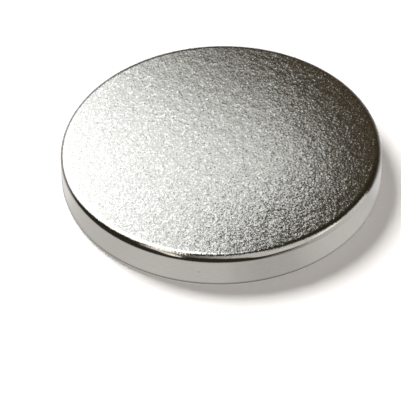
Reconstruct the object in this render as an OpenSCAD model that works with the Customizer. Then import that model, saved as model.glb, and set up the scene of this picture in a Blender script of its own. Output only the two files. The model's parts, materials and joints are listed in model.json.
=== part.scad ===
// Disc magnet: one round plate of sintered rare-earth alloy with a plated skin.
// Both flat faces are poles, and tumbling has rounded the rim between each face and the
// side wall. The origin is the centre of the lower face, and +Z runs through the
// thickness, along the direction of magnetisation. All sizes are in millimetres.

/* [Disc] */
// Diameter across the side wall, over the plating
disc_diameter = 25.4; // [8:0.1:60]
// Thickness from face to face, over the plating
disc_thickness = 3.175; // [2:0.005:12]

/* [Rims] */
// Radius of the rounded rim between the upper face and the side wall
upper_rim_radius = 0.6; // [0.2:0.05:0.9]
// Radius of the rounded rim between the lower face and the side wall
lower_rim_radius = 0.6; // [0.2:0.05:0.9]

/* [Hidden] */

// Segments in the turned body and in a whole rim circle, when it is drawn as a mesh
turn_segments = 180;
// How far a corner cut runs past the sharp section, so that it leaves no skin
overcut = 0.5;

disc_radius = disc_diameter / 2;

// What tumbling takes off a sharp corner: the part of a square that lies outside the
// rim's arc. The arc's centre is at the origin, and the corner is towards +X and +Y.
module corner_waste(rim_radius) {
    difference() {
        square(rim_radius + overcut);
        circle(rim_radius, $fn = turn_segments);
    }
}

// Half of the section through the axis: flat lower face, rounded lower rim, straight
// side wall, rounded upper rim, flat upper face.
module half_section() {
    difference() {
        square([disc_radius, disc_thickness]);
        translate([disc_radius - upper_rim_radius, disc_thickness - upper_rim_radius])
            corner_waste(upper_rim_radius);
        translate([disc_radius - lower_rim_radius, lower_rim_radius])
            mirror([0, 1])
                corner_waste(lower_rim_radius);
    }
}

// The whole magnet, turned once round its axis.
module magnet() {
    color([0.74, 0.72, 0.68])
        rotate_extrude($fn = turn_segments)
            half_section();
}

magnet();
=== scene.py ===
import json
import math

import bpy
import numpy as np
from mathutils import Matrix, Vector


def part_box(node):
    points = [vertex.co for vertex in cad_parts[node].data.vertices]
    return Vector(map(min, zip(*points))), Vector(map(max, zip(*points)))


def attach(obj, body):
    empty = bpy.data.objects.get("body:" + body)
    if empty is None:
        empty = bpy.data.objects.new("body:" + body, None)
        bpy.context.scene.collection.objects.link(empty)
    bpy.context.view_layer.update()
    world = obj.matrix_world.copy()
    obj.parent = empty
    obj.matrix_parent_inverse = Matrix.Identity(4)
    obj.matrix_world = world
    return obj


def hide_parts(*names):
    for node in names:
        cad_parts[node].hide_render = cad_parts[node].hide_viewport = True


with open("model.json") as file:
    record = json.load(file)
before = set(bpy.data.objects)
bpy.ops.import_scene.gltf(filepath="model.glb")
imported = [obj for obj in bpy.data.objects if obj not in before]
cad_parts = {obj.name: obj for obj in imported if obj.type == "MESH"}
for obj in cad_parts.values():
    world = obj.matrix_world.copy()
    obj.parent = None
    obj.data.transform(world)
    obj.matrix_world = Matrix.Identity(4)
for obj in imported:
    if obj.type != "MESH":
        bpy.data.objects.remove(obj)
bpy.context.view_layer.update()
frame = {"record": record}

# Sizes of the disc, in metres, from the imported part: the side wall's mount gives the straight
# height between the two rims, so what is left of the thickness is twice the rim's radius
mounts = {mount["name"]: mount for mount in frame["record"]["mounts"]}
low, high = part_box("magnet")
discRadius = mounts["side_wall"]["dims"]["r_mm"] / 1000
discHeight = high[2] - low[2]
rimRadius = (discHeight - mounts["side_wall"]["dims"]["length_mm"] / 1000) / 2
flatRadius = discRadius - rimRadius


def meshFromGrid(name, grid, wrap=False, poles=False):
    # grid is rows x columns x 3. Each cell becomes a quad, wrap joins the last column to the
    # first, and poles closes the first and last rows with a point each and a fan of triangles
    rows, columns = grid.shape[:2]
    index = np.arange(rows * columns).reshape(rows, columns)
    if wrap:
        index = np.concatenate([index, index[:, :1]], axis=1)
    quads = np.stack([index[:-1, :-1], index[:-1, 1:], index[1:, 1:], index[1:, :-1]], axis=-1)
    quads = quads.reshape(-1, 4)
    points = grid.reshape(-1, 3)
    fans = np.zeros((0, 3), int)
    if poles:
        first, last = len(points), len(points) + 1
        points = np.vstack([points, grid[0].mean(axis=0), grid[-1].mean(axis=0)])
        start = np.stack([np.full(columns, first), index[0, 1:], index[0, :-1]], axis=-1)
        end = np.stack([np.full(columns, last), index[-1, :-1], index[-1, 1:]], axis=-1)
        fans = np.vstack([start, end])
    mesh = bpy.data.meshes.new(name)
    mesh.vertices.add(len(points))
    mesh.vertices.foreach_set("co", points.ravel())
    corners = np.concatenate([quads.ravel(), fans.ravel()])
    starts = np.concatenate([np.arange(len(quads)) * 4, len(quads) * 4 + np.arange(len(fans)) * 3])
    mesh.loops.add(len(corners))
    mesh.loops.foreach_set("vertex_index", corners)
    mesh.polygons.add(len(starts))
    mesh.polygons.foreach_set("loop_start", starts)
    mesh.update(calc_edges=True)
    mesh.validate()
    mesh.shade_smooth()
    piece = bpy.data.objects.new(name, mesh)
    bpy.context.scene.collection.objects.link(piece)
    return piece


# Camera: the photograph's own, from the outline of the upper face
camera = {
    "elevation": 41.90,                    # degrees above the faces
    "roll": 1.153,                         # degrees that the picture leans, right side up
    "distance": 16 * 2 * discRadius,       # 16 diameters from the face's centre
    "framePixels": 401,
    "focalPixels": 5143.4,
    "faceCentrePixel": (221.01, 147.89),   # where the middle of the upper face shows
    "sensorWidth": 36.0,                   # mm
    "clip": (0.01, 10),                    # nearest and farthest metres that it shows
}


def makeCamera(c):
    # The camera stands on a line from the face's centre, and is turned a little off that line
    # so that the centre lands at its own pixel, with no lens shift
    tilt, roll = math.radians(c["elevation"]), math.radians(c["roll"])
    away = np.array([0, -math.cos(tilt), math.sin(tilt)])
    right = np.array([1.0, 0, 0])
    up = np.cross(away, right)
    right, up = (math.cos(roll) * right - math.sin(roll) * up,
                 math.sin(roll) * right + math.cos(roll) * up)
    middle = c["framePixels"] / 2
    column, row = c["faceCentrePixel"]
    offset = np.array([(column - middle) / c["focalPixels"], (middle - row) / c["focalPixels"], 1])
    offset = offset / np.linalg.norm(offset)
    forward = -away * offset[2] - right * offset[0] - up * offset[1]
    forward = forward / np.linalg.norm(forward)
    side = right - forward * (right @ forward)
    side = side / np.linalg.norm(side)
    top = np.cross(side, forward)
    place = np.array([0, 0, discHeight]) + c["distance"] * away
    lens = bpy.data.cameras.new("camera")
    lens.sensor_width = c["sensorWidth"]
    lens.lens = c["sensorWidth"] * c["focalPixels"] / c["framePixels"]
    lens.clip_start, lens.clip_end = c["clip"]
    holder = bpy.data.objects.new("camera", lens)
    holder.matrix_world = Matrix(np.vstack([
        np.column_stack([side, top, -forward, place]),
        [0, 0, 0, 1],
    ]).tolist())
    bpy.context.scene.collection.objects.link(holder)
    bpy.context.scene.camera = holder


makeCamera(camera)
print("camera placed")


# Nodes: a value in inputs that is another node's socket becomes a link, and any other is set
def addNode(tree, kind, inputs=None, **settings):
    node = tree.nodes.new(kind)
    for key, value in settings.items():
        setattr(node, key, value)
    for key, value in (inputs or {}).items():
        if isinstance(value, bpy.types.NodeSocket):
            tree.links.new(value, node.inputs[key])
        else:
            node.inputs[key].default_value = value
    return node


def maths(tree, operation, *values):
    node = addNode(tree, "ShaderNodeMath", dict(enumerate(values)), operation=operation)
    return node.outputs[0]


def vectorMaths(tree, operation, *vectors, scale=None):
    # a length and a distance are one value, and every other operation gives a vector
    inputs = dict(enumerate(vectors))
    if scale is not None:
        inputs["Scale"] = scale
    node = addNode(tree, "ShaderNodeVectorMath", inputs, operation=operation)
    return node.outputs["Value" if operation in ("LENGTH", "DISTANCE") else "Vector"]


def noise(tree, place, size, detail):
    # from 0 to 1, with bumps about size apart and as many finer layers as detail says
    node = addNode(tree, "ShaderNodeTexNoise", {"Vector": place, "Scale": 1 / size, "Detail": detail})
    return node.outputs["Fac"]


def mixColours(tree, share, first, second):
    # first (1 - share) + second share. A mix node's colours are its inputs 6 and 7 and output 2
    node = addNode(tree, "ShaderNodeMix", {"Factor": share, 6: first, 7: second}, data_type="RGBA")
    return node.outputs[2]


def mapRange(tree, value, fromLow, fromHigh, toLow=0.0, toHigh=1.0, smooth=True):
    # goes from toLow to toHigh while value goes from fromLow to fromHigh, and is level past them
    node = addNode(tree, "ShaderNodeMapRange", {
        "Value": value, "From Min": fromLow, "From Max": fromHigh, "To Min": toLow, "To Max": toHigh,
    }, interpolation_type="SMOOTHSTEP" if smooth else "LINEAR")
    return node.outputs["Result"]


def newMaterial(name):
    material = bpy.data.materials.new(name)
    material.use_nodes = True
    tree = material.node_tree
    tree.nodes.clear()
    output = tree.nodes.new("ShaderNodeOutputMaterial")
    return material, tree, output


# The magnet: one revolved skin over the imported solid
magnetShape = {
    "segments": 720,
    "rimSteps": 28,        # steps in each quarter arc
    "sideSteps": 6,
    "faceRings": 12,
    "poleRadius": 0.0004,  # the fan at the middle of each face
    "joinGap": 0.00003,    # ring just inside each rim, which keeps the flat face's shading flat
}


def turnMagnet(s):
    # point(u, v) = (rho(v) cos u, rho(v) sin u, z(v)), where v runs from the middle of the lower
    # face out to its rim, up the side wall and back in over the upper face
    turn = np.linspace(0, 2 * np.pi, s["segments"], endpoint=False)
    rings = np.linspace(s["poleRadius"], flatRadius - s["joinGap"], s["faceRings"])
    arc = np.linspace(0, np.pi / 2, s["rimSteps"] + 1)
    side = np.linspace(rimRadius, discHeight - rimRadius, s["sideSteps"] + 1)[1:-1]
    rho = np.concatenate([
        rings,
        flatRadius + rimRadius * np.sin(arc),
        np.full(len(side), discRadius),
        flatRadius + rimRadius * np.cos(arc),
        rings[::-1],
    ])
    z = np.concatenate([
        np.zeros(len(rings)),
        rimRadius - rimRadius * np.cos(arc),
        side,
        discHeight - rimRadius + rimRadius * np.sin(arc),
        np.full(len(rings), discHeight),
    ])
    grid = np.stack([
        rho[:, None] * np.cos(turn),
        rho[:, None] * np.sin(turn),
        np.repeat(z[:, None], len(turn), axis=1),
    ], axis=-1)
    return meshFromGrid("magnet_skin", grid, wrap=True, poles=True)


# Sizes and places are in metres. A place on the rim is in rim radii past the flat face
nickelLook = {
    "faceColour": (0.464, 0.47, 0.451, 1),
    # painted glints: a brighter colour on the pebbles' tops and a few facets
    "paintedGlintColour": (0.825, 0.835, 0.801, 1),
    "paintedGlintHeight": (0.55, 0.79),        # the pebbles' tops take on the painted glint colour, from and to this height
    "paintedGlintPower": 3,                    # and so do a few facets, as painted glints: the higher this is, the fewer do
    "sideColour": (0.592, 0.572, 0.544, 1),
    "faceRoughness": 0.13,
    "rimRoughness": 0.1,
    "pebbleSize": 0.00017,              # the pebbled relief of the faces, from bump to bump
    "pebbleDepth": 0.0000074,
    "pebbleDetail": 0.0,
    "pebbleStep": 0.000008,             # distance over which its slope is taken
    "grainStretch": 1.4,                # how much longer pebbles, facets and waves are along y
    "facetSize": 0.000066,              # small facets over the pebbles
    "facetTilt": 0.102,                 # how far they lean, as a slope
    "facetSpread": (0.5, 2.4, 5),       # few lean far: tilt times (a + b z^c), with z from 0 to 1
    "waveSize": 0.0007,                 # slower unevenness under the grain
    "waveDepth": 0.000017,
    "waveDetail": 1.0,
    "sideWave": 0.08,                   # how much of waveDepth the polished side keeps
    "grainEdge": (0.1, 1.0),            # where the grain fades out on the rim, from and to
    "edgeWander": 0.00016,              # how far that end wanders, and over what distance
    "edgeWanderSize": 0.00012,
    "edgeWanderDetail": 1.0,
    "rimGrain": (0.2, 0.7, 2),          # on the rim, from and to, the leans grow to this many times
    "sideSizes": (0.0006, 0.00012),     # unevenness of the side wall, along and across the turn
    "sideDetail": 3.0,
    "sideRange": (0.3, 0.7),            # part of its noise that is used
    "sideShade": 0.035,                 # how much its colour varies
    "nickPlace": (0.00399, 0.00752, discHeight),  # a short bright nick at the back of the upper face
    "nickTurn": -48,                    # degrees from x
    "nickSize": (0.00034, 0.000085, 1),  # half its length and half its width
    "nickLean": (-0.26, 0, 0),
    "nickCore": 0.5,                    # share of its size that leans in full
    "speckPlace": (-0.0019, -0.0126, 0.00157),   # a small dull spot low on the side wall
    "speckSize": 0.0002,
    "speckTone": 0.84,                  # how bright its middle is
}


def grainShares(tree, k, place):
    # faceShare runs from 1 on the flat face to 0 past the grain's end, which wanders with a noise.
    # leanShare = faceShare times the growth of the leans on the rim
    radial = vectorMaths(tree, "LENGTH", vectorMaths(tree, "MULTIPLY", place, (1, 1, 0)))
    wander = noise(tree, place, k["edgeWanderSize"], k["edgeWanderDetail"])
    wander = maths(tree, "MULTIPLY", maths(tree, "SUBTRACT", wander, 0.5), k["edgeWander"])
    start, end = (flatRadius + edge * rimRadius for edge in k["grainEdge"])
    faceShare = mapRange(tree, maths(tree, "ADD", radial, wander), start, end, 1, 0)
    start, end = (flatRadius + edge * rimRadius for edge in k["rimGrain"][:2])
    growth = mapRange(tree, radial, start, end, 1, k["rimGrain"][2])
    return faceShare, maths(tree, "MULTIPLY", faceShare, growth)


def faceGrainAndPaintedGlint(tree, k, place, shorten):
    # facets: each cell of a Voronoi pattern leans by tilt (a + b blue^c) (colour - 1/2)
    # pebbles: a noise h leans by depth (h(p) - h(p + step)) / step, along x and along y
    # paintedGlint, a painted glint in the colour, = the larger of how far h is up paintedGlintHeight and
    # green^paintedGlintPower of the cell
    least, more, power = k["facetSpread"]
    cells = addNode(tree, "ShaderNodeTexVoronoi", {"Vector": place, "Scale": 1 / k["facetSize"]})
    cells = cells.outputs["Color"]
    parts = addNode(tree, "ShaderNodeSeparateXYZ", {0: cells}).outputs
    spread = maths(tree, "POWER", parts["Z"], power)
    far = maths(tree, "MULTIPLY_ADD", spread, k["facetTilt"] * more, k["facetTilt"] * least)
    centred = vectorMaths(tree, "SUBTRACT", cells, (0.5, 0.5, 0.5))
    facets = vectorMaths(tree, "SCALE", centred, scale=far)
    step = k["pebbleStep"]
    here, along, across = (
        noise(tree, vectorMaths(tree, "ADD", place, move), k["pebbleSize"], k["pebbleDetail"])
        for move in ((0, 0, 0), (step, 0, 0), (0, step * shorten, 0)))
    fall = addNode(tree, "ShaderNodeCombineXYZ", {
        "X": maths(tree, "SUBTRACT", here, along), "Y": maths(tree, "SUBTRACT", here, across),
    }).outputs[0]
    steep = k["pebbleDepth"] / step
    lean = vectorMaths(tree, "MULTIPLY_ADD", fall, (steep, steep, 0), facets)
    tops = mapRange(tree, here, *k["paintedGlintHeight"])
    paintedGlint = maths(tree, "MAXIMUM", tops, maths(tree, "POWER", parts["Y"], k["paintedGlintPower"]))
    return lean, paintedGlint


def nickGrain(tree, k, place):
    # lean = nickLean times a share, which is 1 in the core of an ellipse and 0 at its edge
    turn = (0, 0, math.radians(k["nickTurn"]))
    inside = addNode(tree, "ShaderNodeMapping", {
        "Vector": place, "Location": k["nickPlace"], "Rotation": turn, "Scale": k["nickSize"],
    }, vector_type="TEXTURE").outputs[0]
    share = mapRange(tree, vectorMaths(tree, "LENGTH", inside), k["nickCore"], 1, 1, 0)
    return vectorMaths(tree, "SCALE", k["nickLean"], scale=share)


def sideTint(tree, k, place):
    # the pattern runs round the disc: its noise is at (turn times radius, height) over their sizes
    parts = addNode(tree, "ShaderNodeSeparateXYZ", {0: place}).outputs
    turn = maths(tree, "ARCTAN2", parts["Y"], parts["X"])
    turned = maths(tree, "MULTIPLY", turn, discRadius / k["sideSizes"][0])
    risen = maths(tree, "DIVIDE", parts["Z"], k["sideSizes"][1])
    unrolled = addNode(tree, "ShaderNodeCombineXYZ", {"X": turned, "Y": risen}).outputs[0]
    mottle = noise(tree, unrolled, 1.0, k["sideDetail"])
    shade = k["sideShade"]
    mottle = mapRange(tree, mottle, *k["sideRange"], 1 - shade, 1 + shade, smooth=False)
    return vectorMaths(tree, "SCALE", k["sideColour"][:3], scale=mottle)


def nickelMaterial(k):
    # normal = unit(mesh normal + leans), then a bump by the slow wave. On the rim, colour and
    # roughness go over from the face's to the side's by faceShare
    material, tree, output = newMaterial("satin_nickel")
    place = addNode(tree, "ShaderNodeTexCoord").outputs["Object"]
    shorten = 1 / k["grainStretch"]
    stretched = vectorMaths(tree, "MULTIPLY", place, (1, shorten, 1))
    faceShare, leanShare = grainShares(tree, k, place)
    lean, paintedGlint = faceGrainAndPaintedGlint(tree, k, stretched, shorten)
    lean = vectorMaths(tree, "SCALE", lean, scale=leanShare)
    lean = vectorMaths(tree, "ADD", lean, nickGrain(tree, k, place))
    normal = addNode(tree, "ShaderNodeNewGeometry").outputs["Normal"]
    leant = vectorMaths(tree, "NORMALIZE", vectorMaths(tree, "ADD", normal, lean))
    wave = noise(tree, stretched, k["waveSize"], k["waveDetail"])
    waveShare = mapRange(tree, faceShare, 0, 1, k["sideWave"], 1, smooth=False)
    bump = addNode(tree, "ShaderNodeBump", {
        "Strength": 1.0, "Distance": k["waveDepth"], "Height": maths(tree, "MULTIPLY", wave, waveShare),
        "Normal": leant,
    })
    # a mix node's plain values are its inputs 2 and 3 and output 0
    roughness = addNode(tree, "ShaderNodeMix", {
        "Factor": faceShare, 2: k["rimRoughness"], 3: k["faceRoughness"],
    }, data_type="FLOAT").outputs[0]
    # the face's colour with painted glints on the pebbles' tops and a few facets
    faceColour = mixColours(tree, paintedGlint, k["faceColour"], k["paintedGlintColour"])
    colour = mixColours(tree, faceShare, sideTint(tree, k, place), faceColour)
    away = vectorMaths(tree, "DISTANCE", place, k["speckPlace"])
    speck = mapRange(tree, away, 0, k["speckSize"], k["speckTone"], 1)
    shader = addNode(tree, "ShaderNodeBsdfPrincipled", {
        "Base Color": vectorMaths(tree, "SCALE", colour, scale=speck), "Metallic": 1.0,
        "Roughness": roughness, "Normal": bump.outputs["Normal"],
    })
    tree.links.new(shader.outputs[0], output.inputs["Surface"])
    return material


magnet = turnMagnet(magnetShape)
magnet.data.materials.append(nickelMaterial(nickelLook))
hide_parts("magnet")
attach(magnet, "root")
print("magnet skin made")

# Floor: pale, wide, and bright enough in camera and mirror rays to be the white ground. lift is
# the colour of its glow
floorLook = {"halfWidth": 3.0, "colour": (0.8, 0.79, 0.78, 1), "lift": (0.3, 0.284, 0.272, 1)}


def makeFloor(k):
    # a square at z = 0: matte, plus a glow in the rays of the camera, of mirrors and of glass
    half = k["halfWidth"]
    span = np.array([-half, half])
    across, along = np.meshgrid(span, span, indexing="ij")
    floor = meshFromGrid("floor", np.stack([across, along, np.zeros_like(across)], axis=-1)[:, ::-1])
    material, tree, output = newMaterial("pale_floor")
    rays = addNode(tree, "ShaderNodeLightPath")
    seen = maths(tree, "MAXIMUM", rays.outputs["Is Camera Ray"], rays.outputs["Is Glossy Ray"])
    seen = maths(tree, "MAXIMUM", seen, rays.outputs["Is Transmission Ray"])
    matte = addNode(tree, "ShaderNodeBsdfDiffuse", {"Color": k["colour"]})
    glow = addNode(tree, "ShaderNodeEmission", {"Color": k["lift"], "Strength": seen})
    both = addNode(tree, "ShaderNodeAddShader", {0: matte.outputs[0], 1: glow.outputs[0]})
    tree.links.new(both.outputs[0], output.inputs["Surface"])
    floor.data.materials.append(material)


makeFloor(floorLook)

# World: pale at the horizon and a dim warm room above it
# edge is the upward part of the direction where one goes over into the other, from and to
worldLook = {"ground": (1, 1, 1, 1), "room": (0.034, 0.027, 0.018, 1), "edge": (0.03, 0.10)}


def makeWorld(k):
    # colour = ground to room over the edge, by the upward part of the direction
    world = bpy.data.worlds.new("studio")
    world.use_nodes = True
    tree = world.node_tree
    tree.nodes.clear()
    direction = addNode(tree, "ShaderNodeTexCoord").outputs["Generated"]
    upward = addNode(tree, "ShaderNodeSeparateXYZ", {0: direction}).outputs["Z"]
    share = mapRange(tree, upward, *k["edge"])
    colour = mixColours(tree, share, k["ground"], k["room"])
    background = addNode(tree, "ShaderNodeBackground", {"Color": colour, "Strength": 1.0})
    addNode(tree, "ShaderNodeOutputWorld", {"Surface": background.outputs[0]})
    bpy.context.scene.world = world


makeWorld(worldLook)

# Lamp: one soft sun from behind on the left, for the floor and its shadow
# Angles are in degrees, azimuth 0 is straight behind the disc, and angle is how wide it looks
sunLook = {"azimuth": -48, "elevation": 50, "angle": 26, "strength": 3.9}


def makeSun(k):
    # it shines down its own z axis, tipped over by 90 - elevation and turned by 180 - azimuth
    light = bpy.data.lights.new("sun", "SUN")
    light.angle = math.radians(k["angle"])
    light.energy = k["strength"]
    lamp = bpy.data.objects.new("sun", light)
    lamp.rotation_euler = (math.radians(90 - k["elevation"]), 0, math.radians(180 - k["azimuth"]))
    lamp.visible_glossy = False
    bpy.context.scene.collection.objects.link(lamp)


makeSun(sunLook)

# Studio cards, which only the metal sees. A raised card is a part of a dome round the disc, and
# a flat one lies on the floor. Azimuth 0 is straight behind the disc and 90 to its right. Each
# card has four edges, and its glow fades across each, over the width in soft: left and right are
# azimuths against elevation, low and high are elevations against azimuth (for a flat card, radii
# in mm). rightFade is the course of the fade at the right edge, from dark to full, and tones
# scales the strength against azimuth. Angles are in degrees and distances in mm
cards = {
    "window": {
        "left": ((-4, -130), (60, -130), (70, -145), (80, -143), (90, -145)),
        "right": ((0, -30), (20, -20), (30, -11), (34, -10.5), (38, -5), (42, -1), (46, -1.5), (50, -12),
                  (54, -21), (64, -3), (75, 6), (82, 20), (86, 34), (90, 38)),
        "rightFade": ((0, 0), (0.06, 0.005), (0.12, 0.2), (0.2, 0.52), (0.3, 0.61), (0.4, 0.625),
                      (0.5, 0.65), (0.6, 0.705), (0.75, 0.805), (0.9, 0.895), (1, 1)),
        "tones": ((-30, 1.2), (-12, 1.03), (0, 1)),
        "low": ((-180, 68), (-140, 60), (-125, 52), (-108, 38), (-96, 27), (-84, 12), (-72, 2), (-60, -3),
                (-48, 0), (-36, 4), (-24, 13), (-16, 24.5), (-8, 31.5), (0, 36), (8, 38), (18, 42.3),
                (30, 45)),
        "high": ((-180, 86), (-100, 87), (30, 88)), "soft": (16, 44, 14, 16),
        "distance": 50, "strength": 1.96, "colour": (1, 1, 1, 1)},
    "warmGlow": {
        "left": ((-4, -25), (90, -25)), "right": ((-4, 46), (90, 46)), "low": ((-60, -3), (60, -3)),
        "high": ((-60, 56), (60, 56)), "soft": (30, 26, 8, 16),
        "distance": 54, "strength": 0.07, "colour": (1, 0.75, 0.44, 1)},
    "stripLight": {
        "left": ((-4, -157), (10, -156), (25, -153), (35, -152), (45, -150.5), (53, -149), (60, -141),
                 (70, -128)),
        "right": ((-4, -150), (10, -149), (25, -141), (35, -138), (45, -130), (55, -112), (70, -100)),
        "low": ((-160, 7), (-100, 7)), "high": ((-160, 66), (-100, 66)), "soft": (4, 6, 7, 10),
        "distance": 49.5, "strength": 1.8, "colour": (1, 0.96, 0.86, 1)},
    "rightWall": {
        "left": ((-4, 82), (90, 82)), "right": ((-4, 202), (30, 198), (45, 193), (60, 190), (90, 194)),
        "low": ((80, -8), (120, -8), (134, 2), (144, 8), (150, 8.5), (156, 6), (162, 8), (168, 24),
                (180, 32), (192, 35), (205, 37)),
        "high": ((80, 18), (84, 22), (96, 28), (108, 40), (120, 54), (132, 60), (144, 69), (152, 68),
                 (160, 65), (168, 63), (180, 57), (205, 53)),
        "tones": ((82, 1.3), (95, 1.15), (110, 1), (125, 0.88), (138, 0.82), (150, 1.05), (160, 1.15),
                  (170, 1), (205, 0.9)),
        "soft": (3, 12, 7, 15), "distance": 52, "strength": 0.7, "colour": (1, 0.985, 0.96, 1)},
    "rightGlow": {
        "left": ((0, 103), (60, 107)), "right": ((0, 124), (60, 128)), "low": ((80, 17), (140, 17)),
        "high": ((80, 33), (140, 33)), "soft": (5, 8, 5, 5),
        "distance": 51, "strength": 1.35, "colour": (1, 0.96, 0.9, 1)},
    "frontGlow": {
        "left": ((0, 136), (60, 128)), "right": ((0, 154), (60, 146)), "low": ((110, 16), (170, 16)),
        "high": ((110, 42), (170, 42)), "soft": (6, 8, 6, 12),
        "distance": 51, "strength": 1.25, "colour": (1, 0.96, 0.9, 1)},
    "frontFill": {
        "left": ((-4, 140), (90, 140)), "right": ((-4, 216), (90, 216)),
        "low": ((150, 6), (162, 7), (175, 10.5), (185, 11.5), (198, 10), (213, 9.5)),
        "high": ((140, 24), (185, 24), (198, 19), (213, 20)),
        "tones": ((149, 0.85), (162, 0.78), (175, 0.72), (185, 0.42), (198, 0.13), (205, 0.45),
                  (213, 1.3)),
        "soft": (16, 10, 7, 8), "distance": 18, "strength": 1, "colour": (1, 0.96, 0.9, 1)},
    "backCard": {
        "left": ((-4, -45), (60, -45)), "right": ((-4, 76), (60, 76)), "low": ((-60, -10), (90, -10)),
        "high": ((-50, 12), (0, 9), (20, 5), (45, 3), (80, 1)), "soft": (20, 6, 2, 20),
        "distance": 53, "strength": 0.2, "colour": (1, 0.95, 0.88, 1)},
    # floorSheet and nearSheet are painted light and shade on the floor as the metal sees it: they glow in
    # its place, and their tones make it darker or brighter round the disc
    "floorSheet": {
        "flat": True, "low": ((-180, 10), (180, 10)), "high": ((-180, 60), (180, 60)),
        "soft": (1, 1, 1, 1),
        "tones": ((-180, 1), (-125, 0.95), (-100, 0.62), (-70, 0.56), (-40, 0.7), (40, 0.72), (75, 0.85),
                  (90, 1), (112, 1), (128, 0.82), (142, 0.66), (160, 0.7), (180, 1)),
        "distance": 0.02, "strength": 0.78, "colour": (1, 0.985, 0.965, 1)},
    "nearSheet": {
        "flat": True, "low": ((-180, 10), (180, 10)),
        "high": ((-180, 16), (-120, 16), (-100, 15), (-60, 15), (60, 16), (180, 16)),
        "soft": (1, 1, 1, 1.4),
        "tones": ((-180, 0.93), (-165, 0.96), (-155, 1), (-145, 0.99), (-135, 0.95), (-125, 0.96),
                  (-115, 0.97), (-105, 1.06), (-98, 1.22), (-85, 1.1), (-70, 0.9), (80, 0.9), (98, 1),
                  (105, 0.88), (115, 0.98), (125, 1.02), (135, 0.99), (145, 0.9), (152, 0.78),
                  (165, 0.76), (175, 0.84), (180, 0.93)),
        "distance": 0.03, "strength": 0.78, "colour": (1, 0.985, 0.965, 1)},
    "backShade": {
        "flat": True, "left": ((12, -70), (50, -70)),
        "right": ((12, 86), (20, 95), (24, 92), (30, 84), (50, 80)),
        "low": ((-180, 30), (-40, 42), (0, 40), (20, 34), (40, 28), (80, 24), (180, 30)),
        "high": ((-180, 70), (180, 70)), "soft": (40, 5, 30, 1),
        "distance": 0.04, "strength": 0.15, "colour": (1, 0.95, 0.88, 1)},
    "frontShade": {
        "flat": True, "left": ((12, 150), (20, 150), (50, 143)), "right": ((12, 284), (50, 292)),
        "low": ((140, 18.4), (165, 17.2), (180, 16.9), (225, 16.6), (240, 16.6), (262, 18.4),
                (290, 24)),
        "high": ((100, 70), (300, 70)), "soft": (26, 36, 3, 1),
        "distance": 0.06, "strength": 0.035, "colour": (1, 0.85, 0.64, 1)},
    "darkBand": {
        "low": ((-180, -10), (180, -10)), "high": ((-180, 12), (180, 12)), "soft": (1, 1, 1, 6),
        "distance": 56, "strength": 0.035, "colour": (1, 0.85, 0.64, 1)},
    "contactShade": {
        "flat": True, "low": ((-180, 9), (180, 9)), "high": ((-180, 12.75), (180, 12.75)),
        "soft": (1, 1, 1, 0.6),
        "distance": 0.08, "strength": 0.05, "colour": (1, 0.98, 0.95, 1)},
}

# Rows of a card's mesh, each run as its first, its end and its step: elevations in degrees for a
# raised card, and radii in mm for a flat one, closer together near the disc
cardRows = {"raised": ((-3.5, 90.1, 1.0),), "flat": ((11.0, 20, 0.2), (20.0, 61, 1.0))}


def knots(at, table):
    # the value at a place on straight lines through the table's pairs, level past its ends
    return np.interp(at, [pair[0] for pair in table], [pair[1] for pair in table])


def makeCard(name, k):
    # dome: point(a, e) = distance (sin a cos e, cos a cos e, sin e) about the upper face's centre
    # flat: point(a, r) = (r sin a, r cos a, distance), on the floor
    # share = the product over the four edges of fade(how far inside / soft + 1/2), where fade is
    # a straight rise from 0 to 1 or the card's own
    flat = k.get("flat", False)
    # a card with neither left nor right runs all the way round
    left = k.get("left", ((0, -360),))
    right = k.get("right", ((0, 360),))
    first = max(min(pair[1] for pair in left) - k["soft"][0] / 2, -180)
    last = min(max(pair[1] for pair in right) + k["soft"][1] / 2, first + 360)
    a = np.linspace(first, last, math.ceil(last - first) + 1)
    s = np.concatenate([np.arange(*run) for run in cardRows["flat" if flat else "raised"]])
    a, s = np.meshgrid(a, s, indexing="ij")
    edges = (a - knots(s, left), knots(s, right) - a, s - knots(a, k["low"]), knots(a, k["high"]) - s)
    straight = ((0, 0), (1, 1))
    fades = (straight, k.get("rightFade", straight), straight, straight)
    share = np.ones_like(a)
    for inside, width, fade in zip(edges, k["soft"], fades):
        share = share * knots(inside / width + 0.5, fade)
    tone = knots(a, k.get("tones", ((0, 1),)))
    turn, rise = np.radians(a), np.radians(s)
    if flat:
        grid = np.stack([s * np.sin(turn), s * np.cos(turn), np.full_like(s, k["distance"])], axis=-1)
        grid = grid[:, ::-1] / 1000
        share, tone = share[:, ::-1], tone[:, ::-1]
    else:
        grid = np.stack([np.sin(turn) * np.cos(rise), np.cos(turn) * np.cos(rise), np.sin(rise)], axis=-1)
        grid = grid * k["distance"] / 1000 + np.array([0, 0, discHeight])
    card = meshFromGrid(name, grid)
    for layerName, values in (("share", share), ("tone", tone * k["strength"])):
        layer = card.data.attributes.new(layerName, "FLOAT", "POINT")
        layer.data.foreach_set("value", values.ravel())
    material, tree, output = newMaterial(name)
    reach = addNode(tree, "ShaderNodeAttribute", attribute_name="share").outputs["Fac"]
    strength = addNode(tree, "ShaderNodeAttribute", attribute_name="tone").outputs["Fac"]
    panel = addNode(tree, "ShaderNodeEmission", {"Color": k["colour"], "Strength": strength})
    clear = addNode(tree, "ShaderNodeBsdfTransparent")
    mix = addNode(tree, "ShaderNodeMixShader", {"Fac": reach, 1: clear.outputs[0], 2: panel.outputs[0]})
    tree.links.new(mix.outputs[0], output.inputs["Surface"])
    card.data.materials.append(material)
    card.visible_camera = False
    card.visible_diffuse = False
    card.visible_shadow = False


for cardName, cardLook in cards.items():
    makeCard(cardName, cardLook)
print("studio set")

scene = bpy.context.scene
scene.view_settings.view_transform = "Standard"
